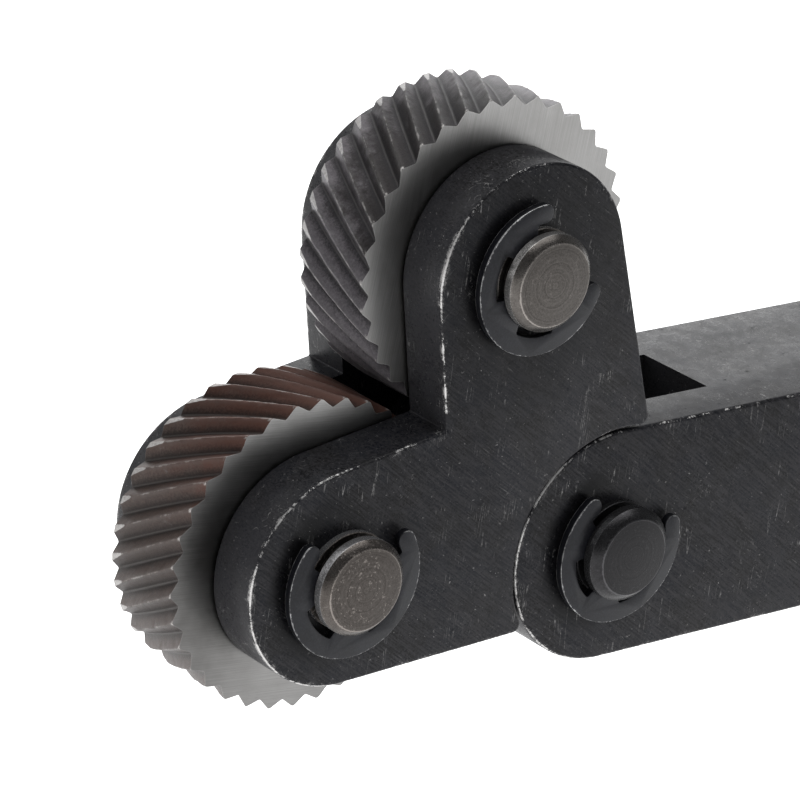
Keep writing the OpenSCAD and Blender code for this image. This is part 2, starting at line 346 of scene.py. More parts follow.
def black_oxide(name):
    f = Finish(name)
    patch = f.noise(f.place, 0.26, 3.0, 0.6)
    chip = f.noise(f.place, 3.2, 6.0, 0.85)
    cloud = f.noise(f.place, 0.16, 4.0, 0.6)
    grain = f.noise(f.place, 5.0, 4.0, 0.8)
    stain = f.noise(f.place, 0.75, 5.0, 0.7)
    milled = f.noise(f.place.turned(-0.66).stretched(0.45, 3.0, 7.0, 5.3), 1.0, 3.0, 0.7)
    cutter_marks = (milled * 0.55 + grain * 0.45).rise(0.42, 0.60)
    tint = f.noise(f.place, 0.24, 3.0, 0.6).rise(0.35, 0.65)
    smudge = f.noise(f.place, 0.55, 6.0, 0.75).rise(0.47, 0.72)
    painted_light_left_faces = (0.0 - f.rounded_normal(OXIDE_EDGE).part("X")).rise(0.3, 0.9)
    dust = f.noise(f.place, 2.6, 6.0, 0.9).rise(0.56, 0.72) * cloud.rise(0.46, 0.60)
    speck = f.noise(f.place, 3.4, 4.0, 0.8).rise(0.64, 0.70) * patch.rise(0.36, 0.52)
    pit = f.noise(f.place, 1.9, 2.0, 0.6).rise(0.64, 0.70) * stain.rise(0.45, 0.6)
    worn, scuffed = rubbed_edges(f, patch, chip), scuffs(f, chip)
    bare = worn.at_least(speck * 0.5).at_least(scuffed * 0.35)
    base = f.colour(tint, (0.0085, 0.0082, 0.0084), (0.0084, 0.0092, 0.0124))
    base = f.colour(cutter_marks, base, (0.0270, 0.0262, 0.0285))
    base = f.colour(smudge * 0.35, base, (0.036, 0.036, 0.040))
    # painted light: faces that look along −X are a lighter grey
    base = f.colour(painted_light_left_faces * 0.42, base, (0.045, 0.044, 0.047))
    # painted shadow ahead of the clips, and a darker tint round the upper pin
    base = f.colour(painted_clip_shadow_and_tint(f), base, (0.003, 0.003, 0.0035))
    base = f.colour(dust * 0.5, base, (0.085, 0.085, 0.085))
    base = f.colour(bare, base, BARE_STEEL)
    roughness = 0.34 + (grain - 0.5) * 0.5 + (milled - 0.5) * 0.3 + dust * 0.15
    roughness = roughness + (stain - 0.5) * 0.45 + (cloud - 0.5) * 0.25 + pit * 0.3
    bump = grain * 0.8 + milled * 0.35 - scuffed * 0.4 + chip * 0.4 - worn * 0.5
    return f.finish(base, bare * 0.7, roughness, bump, 0.012 * MM, **{"Specular IOR Level": 0.09})


OXIDE = black_oxide("black_oxide")
print("finish:", OXIDE.name, len(OXIDE.node_tree.nodes), "nodes")

# %% [markdown]
# ## Hardened wheel steel
# A knurling wheel is turned, hobbed, hardened and then ground on its two side faces. So its faces
# are bright steel with straight grinding lines, while the tooth flanks keep the colour of the
# heat: brown on one wheel, purple-grey on the other. The tips are burnished by use, with a painted
# glint where they meet the near face, and the bevelled tooth ends are brighter. Painted shade
# darkens the bottoms of the grooves and the undersides of the teeth, and a painted shade and
# reflection darkens the faces towards the left. How high a point lies on its tooth is its
# distance from the wheel's axis, and the end bevel is a cone about that axis, so the finish works
# both out from the place and needs nothing stored in the mesh.

# %% Where a point lies on a wheel
TOOTH_DEPTH, END_BEVEL, BEVEL_DROP = 0.75 * MM, 1.5 * MM, 0.2 * MM


class WheelFinish(Finish):
    """A finish that knows where a point lies on a wheel and how high on its tooth."""

    def __init__(self, name, centre):
        super().__init__(name)
        self.normal = self.flat_normal()
        self.face = abs(self.normal.part("Y")).rise(0.90, 0.97)
        self.out = self.place.away_from(centre / MM)
        self.radius = self.from_axis(centre)
        self.height = 1 - (WHEEL_R / MM - self.radius) / (TOOTH_DEPTH / MM)
        past = self.out.part("Y") - (WHEEL_W / 2 - END_BEVEL) / MM
        off_cone = abs(self.radius + past * (BEVEL_DROP / END_BEVEL) - WHEEL_R / MM)
        self.end_bevel = past.rise(0.0, 0.08) * (1 - off_cone.rise(0.015, 0.035))
        self.near_end = 1 - (self.out.part("Y") + WHEEL_W / 2 / MM).rise(0.08, 0.30)
        self.grain = self.noise(self.place, 5.0, 5.0, 0.8)
        self.cloud = self.noise(self.place, 0.45, 4.0, 0.65)
        self.chip = self.noise(self.place, 2.6, 5.0, 0.8)
        self.rim = (self.edges(0.14 * MM) + (self.chip - 0.5) * 0.8).rise(0.45, 0.85)

    def toward(self, angle):
        """How far a point lies in a direction, as a share of the wheel's radius."""
        along = self.out.part("X") * math.cos(angle) + self.out.part("Z") * math.sin(angle)
        return along / (WHEEL_R / MM)


# %% The colour of the tooth flanks
def burnish_and_glint(f):
    """How bright the teeth are: most at the corners of their near ends, worn and with a painted
    glint, less on the tips, burnished by use, and only a little on the other edges and in the
    bottoms of the grooves."""
    crest = f.height.rise(0.6, 1.0) * 0.05
    groove = (1 - f.height.rise(0.01, 0.06)) * 0.06
    tip = f.height + (f.chip - 0.5) * 0.15 + (f.cloud - 0.5) * 0.25
    # painted glint, with wear, where the tips meet the near face
    corner_glint = f.height.rise(0.75, 0.95) * f.near_end * f.chip.rise(0.40, 0.55)
    bright = crest.at_least(groove).at_least(tip.rise(0.95, 1.03) * 0.45)
    return bright.at_least(corner_glint * 0.9).at_least(f.rim * 0.10)


def flank_colour(f, bright, hot, cool, heat_side, hot_range):
    """The heat's colour, dusted over, with painted shade in the grooves and on the undersides."""
    heat = f.toward(heat_side) + (f.cloud - 0.5) * 1.0 - f.out.part("Y") * 0.05
    heat = heat.rise(*hot_range)
    mottled = (f.grain * 0.6 + f.chip * 0.4).rise(0.38, 0.68) * (0.7 - heat * 0.6)
    dusty = f.noise(f.place, 1.6, 6.0, 0.85).rise(0.54, 0.68) * f.cloud.rise(0.45, 0.6)
    # painted shade: the flanks darken towards the bottoms of the grooves
    groove_shade = 1 - (f.height + (f.grain - 0.5) * 0.8).rise(-0.05, 0.65)
    # painted shade: flanks that face down are darker
    under = (0.0 - f.normal.part("Z")).rise(-0.1, 0.75) * (0.75 + (f.chip - 0.5) * 1.0)
    flank = f.colour(heat, cool, hot)
    flank = f.colour(mottled, flank, shade(cool, 2.0))
    flank = f.colour(dusty * (0.45 - heat * 0.35), flank, (0.16, 0.155, 0.155))
    flank = f.colour(groove_shade * 0.88, flank, shade(cool, 0.22))
    flank = f.colour(under * 0.85, flank, shade(cool, 0.3))
    flank = f.colour(bright, flank, (0.44, 0.425, 0.41))
    return f.colour(f.end_bevel * (0.65 + (f.grain - 0.5) * 1.6), flank, (0.46, 0.45, 0.44))


# %% The colour of the ground faces
def ground_colour(f, lines, painted_face_shade):
    """Bright steel with straight grinding lines, darkened by a painted shade and reflection. The
    last argument says how dark it is all over, how much darker on the left and how much lighter
    at the top."""
    stain = f.noise(f.place, 0.28, 3.0).rise(0.35, 0.75)
    ground = f.colour(lines.rise(0.30, 0.72), (0.27, 0.268, 0.263), (0.36, 0.357, 0.351))
    ground = f.colour(stain * 0.3, ground, (0.21, 0.205, 0.198))
    ground = f.colour(f.rim * 0.6, ground, (0.55, 0.54, 0.53))
    all_over, on_the_left, at_the_top = painted_face_shade
    left = (f.out.part("Z") * 0.26 - f.out.part("X") * 0.97) / f.radius
    top = (f.out.part("Z") / f.radius).rise(0.2, 0.95)
    # painted shade and reflection: the faces darken towards the left, and less at the top
    film = all_over + left.rise(-0.1, 0.9) * (0.85 + (stain - 0.5) * 0.3) * on_the_left
    return f.colour(film - top * at_the_top, ground, (0.012, 0.0095, 0.0085))


# %% Wheel steel
def wheel_steel(name, centre, hot, cool, heat_side, hot_range, grind_angle, painted_face_shade):
    """hot and cool are the flank colours, heat_side the direction in which hot wins and
    hot_range where. grind_angle is the direction of the grinding lines on the faces."""
    f = WheelFinish(name, centre)
    lines = f.noise(f.place.turned(grind_angle).stretched(0.16, 3.0, 16.0, 1.7), 1.0, 3.0, 0.65)
    bright, off_face = burnish_and_glint(f), 1 - f.face
    flank = flank_colour(f, bright, hot, cool, heat_side, hot_range)
    base = f.colour(f.face, flank, ground_colour(f, lines, painted_face_shade))
    metallic = 0.3 + f.face * 0.7 + bright.at_least(f.end_bevel * 0.8) * off_face * 0.6
    roughness = 0.46 + (f.grain - 0.5) * 0.3 - f.face * 0.11 + (lines - 0.5) * f.face * 0.10
    bump = f.grain * off_face * 1.5 + f.chip * off_face * 0.6 + lines * f.face * 0.12
    return f.finish(base, metallic, roughness, bump, 0.012 * MM, **{"Specular IOR Level": 0.18})


WHEEL_STEEL = {
    "upper": wheel_steel("wheel_steel_grey", PIN_AT["upper"],
                         hot=(0.0095, 0.0072, 0.0072), cool=(0.085, 0.078, 0.084),
                         heat_side=math.radians(125), hot_range=(0.58, 1.02),
                         grind_angle=math.radians(82), painted_face_shade=(0.20, 0.0, 0.02)),
    "lower": wheel_steel("wheel_steel_brown", PIN_AT["lower"],
                         hot=(0.084, 0.039, 0.029), cool=(0.053, 0.0385, 0.0335),
                         heat_side=math.radians(80), hot_range=(0.15, 0.95),
                         grind_angle=math.radians(-6), painted_face_shade=(0.34, 0.38, 0.42)),
}
print("finishes:", [m.name for m in WHEEL_STEEL.values()])

# %% [markdown]
# ## Turned pins
# The pins are parted off in a lathe, so their ends carry fine rings round the centre and a few
# torn pits. The wheel pins are bare steel, gone brownish grey. The pivot pin was blackened with
# the shank. Distance from the pin's axis drives the rings, so they stay round from any side.

# %% The end of a turned pin
PIN_R, PIN_BEVEL, PIVOT_BEVEL = 4 * MM, 0.6 * MM, 0.75 * MM
PAST_THE_CLIP = 10.3  # how far from the middle a wheel pin comes out of its clip, in mm


def end_colour(f, rings, grain, pits, dark, light):
    """The end face: rings from dark to light, with lighter torn pits."""
    end = f.colour((rings * 0.6 + grain * 0.4).rise(0.38, 0.62), dark, light)
    return f.colour(pits, end, shade(light, 2.8))


def side_colour(f, out, radius, blotch, grain, side):
    """The round side near the end: polished, with a painted highlight streak at the upper left."""
    toward_light = (out.part("Z") * 0.62 - out.part("X") * 0.79) / radius
    # painted highlight: a bright streak on the upper left of the collar
    painted_streak = toward_light.rise(0.88, 0.98) * (blotch + grain * 0.15).rise(0.40, 0.70)
    beyond = abs(out.part("Y")).rise(PAST_THE_CLIP, PAST_THE_CLIP + 0.1)
    return f.colour(painted_streak * beyond, side, shade(side, 4.2))


# %% Turned steel
def turned_steel(name, centre, bevel, dark, light, side, pitted):
    """dark and light are the end face's colours, side the colour of the polished round side.
    pitted is how much the torn pits show, from 0 to 1."""
    f = Finish(name)
    flat = abs(f.flat_normal().part("Y"))
    collar = 1 - flat.rise(0.25, 0.45)
    bevelled = (1 - abs(flat - 0.7) * 4.0).at_least(0.0)
    out, radius = f.place.away_from(centre / MM), f.from_axis(centre)
    wander = f.noise(f.place, 0.8, 2.0)
    outward = f.node("CombineXYZ", None, {"X": radius * 5.5 + wander * 1.1, "Y": 0.0, "Z": 0.0})
    rings = f.noise(outward, 1.0, 3.0, 0.75)
    grain = f.noise(f.place, 8.0, 3.0, 0.7)
    blotch = f.noise(f.place, 0.7, 4.0, 0.7)
    pits = f.noise(f.place, 4.2, 3.0, 0.7).rise(0.57, 0.66) * blotch.rise(0.40, 0.55) * pitted
    bevel_line = 1 - abs(radius - (PIN_R - bevel) / MM).rise(0.02, 0.10)
    edge = f.edges(0.12 * MM).at_least(bevel_line * 0.8)
    worn = (edge + (grain - 0.5) * 1.4 + (blotch - 0.5) * 1.2).rise(0.35, 0.75)
    worn = worn * edge.rise(0.1, 0.3)
    # painted shade: the floor of the clip's groove is near black
    groove = collar * (1 - radius.rise(3.85, 3.95))
    base = end_colour(f, rings, grain, pits, dark, light)
    base = f.colour(bevelled * (blotch - 0.35) * 1.6, base, shade(light, 1.7))
    base = f.colour(collar, base, side_colour(f, out, radius, blotch, grain, side))
    base = f.colour(worn * 0.8, base, shade(light, 3.0))
    base = f.colour(groove, base, (0.004, 0.004, 0.004))
    roughness = 0.42 + (grain - 0.5) * 0.25 + (rings - 0.5) * 0.14
    roughness = roughness - collar * 0.18 - bevelled * 0.14
    bump = (rings + grain * 0.5 - pits) * (1 - collar * 0.85) + blotch * collar
    return f.finish(base, 0.9 - collar * 0.35, roughness, bump, 0.018 * MM,
                    **{"Specular IOR Level": 0.5})


PIN_STEEL = {
    "upper": turned_steel("pin_steel_upper", PIN_AT["upper"], PIN_BEVEL,
                          dark=(0.040, 0.036, 0.033), light=(0.088, 0.081, 0.075),
                          side=(0.20, 0.195, 0.19), pitted=0.25),
    "lower": turned_steel("pin_steel_lower", PIN_AT["lower"], PIN_BEVEL,
                          dark=(0.034, 0.029, 0.026), light=(0.078, 0.070, 0.064),
                          side=(0.20, 0.198, 0.20), pitted=0.8),
    "pivot": turned_steel("pin_steel_pivot", PIVOT, PIVOT_BEVEL,
                          dark=(0.0150, 0.0147, 0.0155), light=(0.0255, 0.0250, 0.0262),
                          side=(0.028, 0.028, 0.029), pitted=0.3),
}
print("finishes:", [m.name for m in PIN_STEEL.values()])

# %% [markdown]
# ## Spring steel
# E-clips are stamped from spring strip and blued by tempering, so they are smoother and bluer
# than the head behind them. Stamping leaves a thin burnished line round the outer edge.

# %% Spring steel
def spring_steel(name):
    f = Finish(name)
    outer = f.node("Attribute", {"attribute_name": "outer_side"}, output="Fac").rise(0.55, 0.8)
    cloud = f.noise(f.place, 0.5, 3.0, 0.6)
    grain = f.noise(f.place, 6.0, 4.0, 0.8)
    chip = f.noise(f.place, 2.8, 5.0, 0.85)
    edge = f.edges(0.16 * MM).at_least(f.slanting())
    worn = (edge + (chip - 0.5) * 2.8 + (cloud - 0.5) * 1.6).rise(0.60, 1.15) * edge.rise(0.2, 0.6)
    worn = worn * (0.10 + outer * 0.80)
    base = f.colour(cloud.rise(0.3, 0.7), (0.0048, 0.0051, 0.0066), (0.0080, 0.0085, 0.0112))
    base = f.colour(grain.rise(0.42, 0.66) * 0.6, base, (0.0175, 0.0180, 0.0225))
    base = f.colour(worn * 0.9, base, (0.50, 0.50, 0.50))
    roughness = 0.38 + (grain - 0.5) * 0.3
    return f.finish(base, 0.3 + worn * 0.4, roughness, grain, 0.008 * MM,
                    **{"Specular IOR Level": 0.28})


SPRING = spring_steel("spring_steel")
print("finish:", SPRING.name, len(SPRING.node_tree.nodes), "nodes")

# %% [markdown]
# ## Outlines and solids
# The head, the shank and the clips are all flat outlines given a width, like parts cut from bar.
# Each is built here as rings of points: the outline itself, and at each face the same outline
# drawn in a little, so that the solid has a real rounded edge break that catches the light.

# %% Outline helpers
ROUND_SIDES = 192  # how many flat sides stand for a round bar or hole
TOUCHING = 1e-7  # points closer than this, in metres, are one
MITRE_FLOOR = 0.35  # keeps the mitre of a very sharp corner short


def arc(centre, radius, start, end, step=2.0):
    """Points on an arc in the X-Z plane, in metres, from one angle to another in degrees."""
    count = max(2, math.ceil(abs(end - start) / step))
    angles = np.radians(np.linspace(start, end, count + 1))
    return np.column_stack([centre[0] + radius * np.cos(angles),
                            centre[1] + radius * np.sin(angles)])


def joined(*runs):
    """One closed outline from runs of points, without doubled points."""
    points = np.vstack([np.atleast_2d(run) for run in runs])
    step = np.linalg.norm(points - np.roll(points, 1, axis=0), axis=1)
    return points[step > TOUCHING]


def drawn_in(points, distance):
    """The outline moved inwards by a distance, with mitred corners."""
    ahead = np.roll(points, -1, axis=0) - points
    ahead /= np.linalg.norm(ahead, axis=1)[:, None]
    x, z = points.T
    area = np.sum(x * np.roll(z, -1) - np.roll(x, -1) * z)
    inward = np.column_stack([-ahead[:, 1], ahead[:, 0]]) * np.sign(area)
    before = np.roll(inward, 1, axis=0)
    mitre = inward + before
    mitre /= np.maximum(np.sum(mitre * inward, axis=1), MITRE_FLOOR)[:, None]
    return points + mitre * distance


def tilted(points):
    """Carries an outline drawn about the pivot, head straight ahead, to the head's place."""
    c, s = math.cos(SWING), math.sin(SWING)
    x, z = points[:, 0], points[:, 1]
    return np.column_stack([PIVOT.x + x * c + z * s, PIVOT.z - x * s + z * c])


# %% Solids from rings of points
def new_piece(name, bm, *materials):
    """A mesh object at the origin with outward faces and its sharp edges marked."""
    bmesh.ops.remove_doubles(bm, verts=bm.verts, dist=TOUCHING)
    bmesh.ops.recalc_face_normals(bm, faces=bm.faces)
    mesh = bpy.data.meshes.new(name)
    bm.to_mesh(mesh)
    bm.free()
    piece = bpy.data.objects.new(name, mesh)
    bpy.context.scene.collection.objects.link(piece)
    for material in materials:
        mesh.materials.append(material)
    smooth_between_edges(piece)
    return piece


def smooth_between_edges(piece, angle=38):
    piece.data.shade_smooth()
    piece.data.set_sharp_from_angle(angle=math.radians(angle))


def skinned(bm, rings):
    """Joins closed rings of points into a solid, with a flat cap on the first and the last."""
    made = [[bm.verts.new(p) for p in ring] for ring in rings]
    for one, two in zip(made, made[1:]):
        for k in range(len(one)):
            bm.faces.new((one[k - 1], one[k], two[k], two[k - 1]))
    bm.faces.new(made[0])
    bm.faces.new(reversed(made[-1]))


def plate(outline, y_low, y_high, edge, steps=3):
    """A solid of an outline between two Y planes, its edges rounded by edge or square for 0."""
    bm = bmesh.new()
    low = [(0, y_low)]
    if edge:
        low = [(edge * (1 - math.sin(t)), y_low + edge * (1 - math.cos(t)))
               for t in np.linspace(0, math.pi / 2, steps + 1)]
    levels = low + [(inset, y_low + y_high - y) for inset, y in reversed(low)]
    rings = []
    for inset, y in levels:
        flat = drawn_in(outline, inset) if inset else outline
        rings.append([(x, y, z) for x, z in flat])
    skinned(bm, rings)
    return bm


def bar(centre, radius, y_low, y_high):
    """A plain round bar along Y, used as a cutter or a boss."""
    angles = np.linspace(0, 2 * math.pi, ROUND_SIDES, endpoint=False)
    return plate(np.column_stack([centre[0] + radius * np.cos(angles),
                                  centre[1] + radius * np.sin(angles)]), y_low, y_high, 0)


# %% Cut, join and seat a piece
def combined(piece, operation, *bodies):
    """Unites bodies with a piece or cuts them from it, and bakes the result."""
    tools = [new_piece(f"tool_{k}", bm) for k, bm in enumerate(bodies)]
    for tool in tools:
        modifier = piece.modifiers.new("cut", "BOOLEAN")
        modifier.operation, modifier.object, modifier.solver = operation, tool, "EXACT"
    bpy.context.view_layer.update()
    evaluated = piece.evaluated_get(bpy.context.evaluated_depsgraph_get())
    baked = bpy.data.meshes.new_from_object(evaluated)
    piece.modifiers.clear()
    piece.data = baked
    for tool in tools:
        bpy.data.objects.remove(tool)


def seat(piece, body, slot, *nodes):
    """Rides a finished piece on its body in place of the CAD nodes that it stands for."""
    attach(piece, body)
    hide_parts(*nodes)
    piece.data.calc_loop_triangles()
    print(piece.name, len(piece.data.loop_triangles), "triangles")


# %% [markdown]
# ## The shank
# The shank is a bar of rectangular steel, milled round at its front end and slotted to take the
# head's tongue. It could be a box with a rounded end, but the round has to be centred on the
# pivot pin, so the outline starts from there. The slot and the pin's hole are cut with Booleans.

# %% Build the shank
SHANK_EDGE, REAR_BEVEL = 0.32 * MM, 1.0 * MM
SLOT_DEPTH, SLOT_W = 13 * MM, 8.1 * MM
HOLE_PLAY = 0.01 * MM  # the pins sit tight in the shank and in the cheeks
ear_r = SHANK_H / 2
pivot_xz = (PIVOT.x, PIVOT.z)
rear, top, bottom = shank_box[1].x, shank_box[1].z, shank_box[0].z
shank_outline = joined(
    arc(pivot_xz, ear_r, 90, 270),
    [[rear - REAR_BEVEL, bottom], [rear, bottom + REAR_BEVEL]],
    [[rear, top - REAR_BEVEL], [rear - REAR_BEVEL, top]],
)
shank = new_piece("shank_body", plate(shank_outline, -SHANK_W / 2, SHANK_W / 2, SHANK_EDGE), OXIDE)
slot_outline = np.array([[PIVOT.x - 2 * ear_r, -ear_r], [PIVOT.x + SLOT_DEPTH, -ear_r],
                         [PIVOT.x + SLOT_DEPTH, 2 * SHANK_H], [PIVOT.x - 2 * ear_r, 2 * SHANK_H]])
combined(shank, "DIFFERENCE", plate(slot_outline, -SLOT_W / 2, SLOT_W / 2, 0),
         bar(pivot_xz, PIN_R + HOLE_PLAY, -SHANK_W, SHANK_W))
smooth_between_edges(shank)
seat(shank, "shank", "black_steel", "shank")

# %% [markdown]
# ## The head
# The head carries the wheels between two cheeks. Each cheek has a round lobe about each wheel
# pin, with a notch between the lobes, and both cheeks stop short of the shank's ears in a round
# step. A thinner tongue goes on into the shank's slot. The outline is worked out from tangents,
# with the head straight ahead, and then tilted up to where it rests against the shank.

# %% The cheek's outline
EDGE = 38  # how far the cheek's straight edges lean in towards the pivot, in degrees
STEP_GAP, CORNER_R, NOTCH_R = 0.4 * MM, 0.7 * MM, 0.12 * MM
STEP_R, TONGUE_R = ear_r + STEP_GAP, ear_r
edge_normal = np.array([math.sin(math.radians(EDGE)), math.cos(math.radians(EDGE))])
edge_along = np.array([edge_normal[1], -edge_normal[0]])
edge_offset = LOBE_R + np.dot([-LOBE_X, LOBE_Z], edge_normal)
run = math.sqrt((STEP_R + CORNER_R) ** 2 - (edge_offset - CORNER_R) ** 2)
corner = edge_normal * (edge_offset - CORNER_R) - edge_along * run
toward = math.degrees(math.atan2(corner[1], corner[0]))
cheek_outline = joined(
    arc((-LOBE_X, LOBE_Z), LOBE_R, 180 + NOTCH, 90 - EDGE),
    arc(corner, CORNER_R, 90 - EDGE, toward - 180, 12),
    arc((0, 0), STEP_R, toward, 360 - toward),
    arc((corner[0], -corner[1]), CORNER_R, 180 - toward, EDGE - 90, 12),
    arc((-LOBE_X, -LOBE_Z), LOBE_R, EDGE - 90, -180 - NOTCH),
    arc((-notch_x - NOTCH_R * math.sqrt(2), 0), NOTCH_R, -NOTCH, NOTCH, 12),
)
print("cheek outline:", len(cheek_outline), "points")

# %% Build the head
HEAD_EDGE, TONGUE_T, WEB_T = 0.26 * MM, 8 * MM, 5 * MM
WHEEL_ROOM, PIVOT_PLAY = 0.6 * MM, 0.05 * MM
OVERLAP = 1 * MM  # how far a body or a cutter reaches past what it joins or cuts
POCKET_W, POCKET_R = WHEEL_W + WHEEL_ROOM, WHEEL_R + WHEEL_ROOM
web_x = LOBE_X - math.sqrt(POCKET_R ** 2 - (LOBE_Z - WEB_T / 2) ** 2)
neck_low, neck_high = toward + 1, 359 - toward  # a degree inside the cheeks' corners
neck = joined(arc((0, 0), TONGUE_R - OVERLAP, neck_low, neck_high),
              arc((0, 0), STEP_R + OVERLAP, neck_high, neck_low))
cut_ahead, cut_half = -notch_x - OVERLAP, WEB_T / 2 + OVERLAP
web_cut = np.array([[cut_ahead, -cut_half], [-web_x, -cut_half],
                    [-web_x, cut_half], [cut_ahead, cut_half]])
head = new_piece("head_body", plate(tilted(cheek_outline), -HEAD_W / 2, HEAD_W / 2, HEAD_EDGE),
                 OXIDE)
combined(head, "UNION", plate(tilted(neck), -TONGUE_T / 2, TONGUE_T / 2, 0),
         bar(pivot_xz, TONGUE_R, -TONGUE_T / 2, TONGUE_T / 2))
lobes = [(at.x, at.z) for at in PIN_AT.values()]
combined(head, "DIFFERENCE",
         *[bar(at, POCKET_R, -POCKET_W / 2, POCKET_W / 2) for at in lobes],
         plate(tilted(web_cut), -POCKET_W / 2, POCKET_W / 2, 0),
         *[bar(at, PIN_R + HOLE_PLAY, -HEAD_W, HEAD_W) for at in lobes],
         bar(pivot_xz, PIN_R + PIVOT_PLAY, -HEAD_W, HEAD_W))
smooth_between_edges(head)
seat(head, "head", "black_steel", "head")

# %% [markdown]
# ## The pins
# Each pin is turned from 8 mm bar: a bevel at each end, wide enough to catch the light, and a
# groove for each E-clip. A cylinder with a Bevel modifier would have the bevels but no grooves,
# so a profile is spun round the Y axis instead, and a flat cap closes each end.

# %% Build the pins
CLIP_T, GROOVE_DEPTH, GROOVE_PLAY, CLIP_PLAY = 0.7 * MM, 1 * MM, 0.02 * MM, 0.3 * MM
PIN_SLIDE = (pin_box[0].y + pin_box[1].y) / 2
PIN_SIDES, PIN_SOFT = 160, 0.05 * MM


def turned_pin(name, centre, grip, tip, bevel, material):
    """A pin about Y through centre, holding the width grip between its clips."""
    inner = grip / 2 + CLIP_PLAY - GROOVE_PLAY
    outer = inner + CLIP_T + 2 * GROOVE_PLAY
    floor_r, soft = PIN_R - GROOVE_DEPTH, PIN_SOFT
    half = [(PIN_R, inner - soft), (PIN_R - soft, inner), (floor_r, inner), (floor_r, outer),
            (PIN_R - soft, outer), (PIN_R, outer + soft), (PIN_R, tip - bevel - soft),
            (PIN_R - soft * 0.3, tip - bevel), (PIN_R - bevel, tip - soft * 0.3),
            (PIN_R - bevel - soft, tip)]
    profile = [(r, -y) for r, y in reversed(half)] + half
    angles = np.linspace(0, 2 * math.pi, PIN_SIDES, endpoint=False)
    bm = bmesh.new()
    rings = [[(centre.x + r * math.cos(a), PIN_SLIDE + y, centre.z + r * math.sin(a))
              for a in angles] for r, y in profile]
    skinned(bm, rings)
    return new_piece(name, bm, material)


pin_half = (pin_box[1].y - pin_box[0].y) / 2
pivot_pin_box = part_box("pivot_pin")
pivot_half = (pivot_pin_box[1].y - pivot_pin_box[0].y) / 2
pins = {
    "upper": turned_pin("upper_pin", PIN_AT["upper"], HEAD_W, pin_half, PIN_BEVEL,
                        PIN_STEEL["upper"]),
    "lower": turned_pin("lower_pin", PIN_AT["lower"], HEAD_W, pin_half, PIN_BEVEL,
                        PIN_STEEL["lower"]),
    "pivot": turned_pin("pivot_turned_pin", PIVOT, SHANK_W, pivot_half, PIVOT_BEVEL,
                        PIN_STEEL["pivot"]),
}
seat(pins["upper"], "head", "pin_steel", "upper_wheel_pin")
seat(pins["lower"], "head", "pin_steel", "lower_wheel_pin")
seat(pins["pivot"], "shank", "pin_steel", "pivot_pin")

# %% [markdown]
# ## The E-clips
# Six clips snap into the pins' grooves. Each is a C-shaped band with round tips, two prongs
# beside its opening and a tab opposite, which grip the bottom of the groove. The clip is drawn
# once, in polar form, and Geometry Nodes put a copy on each pin end: the points carry the turn
# that each clip has taken, because nothing lines the openings up.

# %% Draw one clip
CLIP_R, CLIP_BAND, CLIP_EDGE = 6.25 * MM, 1.55 * MM, 0.08 * MM
GRIP_R = PIN_R - GROOVE_DEPTH + GROOVE_PLAY
OPENING = 57  # half of the clip's opening, in degrees
# where the sides of the prongs and of the tab rise and fall, in degrees from the opening
PRONG_START, PRONG_END, TAB_START = (65, 71), (105, 111), (156, 163)


def smooth_rise(value, low, high):
    """0 below low and 1 above high, with a smooth rise between them."""
    share = min(1, max(0, (value - low) / (high - low)))
    return share * share * (3 - 2 * share)


def clip_inner_radius(angle):
    """Radius of the clip's inner side at an angle from its opening, in degrees."""
    turn = abs((angle + 180) % 360 - 180)
    prong = smooth_rise(turn, *PRONG_START) * (1 - smooth_rise(turn, *PRONG_END))
    tab = smooth_rise(turn, *TAB_START)
    return CLIP_R - CLIP_BAND - (prong + tab) * (CLIP_R - CLIP_BAND - GRIP_R)


def from_centre(radius, angle):
    """The point at a radius and an angle in degrees."""
    return radius * np.array([math.cos(math.radians(angle)), math.sin(math.radians(angle))])


tips = [from_centre(CLIP_R - CLIP_BAND / 2, side * OPENING) for side in (1, -1)]
inner_side = [from_centre(clip_inner_radius(a), a)
              for a in np.arange(360 - OPENING, OPENING - 0.5, -1.0)]
clip_outline = joined(arc((0, 0), CLIP_R, OPENING, 360 - OPENING),
                      arc(tips[1], CLIP_BAND / 2, 360 - OPENING, 540 - OPENING, 12),
                      inner_side,
                      arc(tips[0], CLIP_BAND / 2, 180 + OPENING, 360 + OPENING, 12))
one_clip = new_piece("one_clip", plate(clip_outline, -CLIP_T / 2, CLIP_T / 2, CLIP_EDGE, 2))
across = [(v.co.xz.length - CLIP_R) / CLIP_BAND + 1 for v in one_clip.data.vertices]
one_clip.data.attributes.new("outer_side", "FLOAT", "POINT").data.foreach_set("value", across)
print("one clip:", len(clip_outline), "points round")

# %% [markdown]
# A small helper writes trees of Geometry Nodes: it adds the interface, the nodes and the links,
# and it turns the evaluated result into a plain mesh without the modifier. Its outputs are
# Links as well, so the rule for a shape is written with the same operators as a finish.

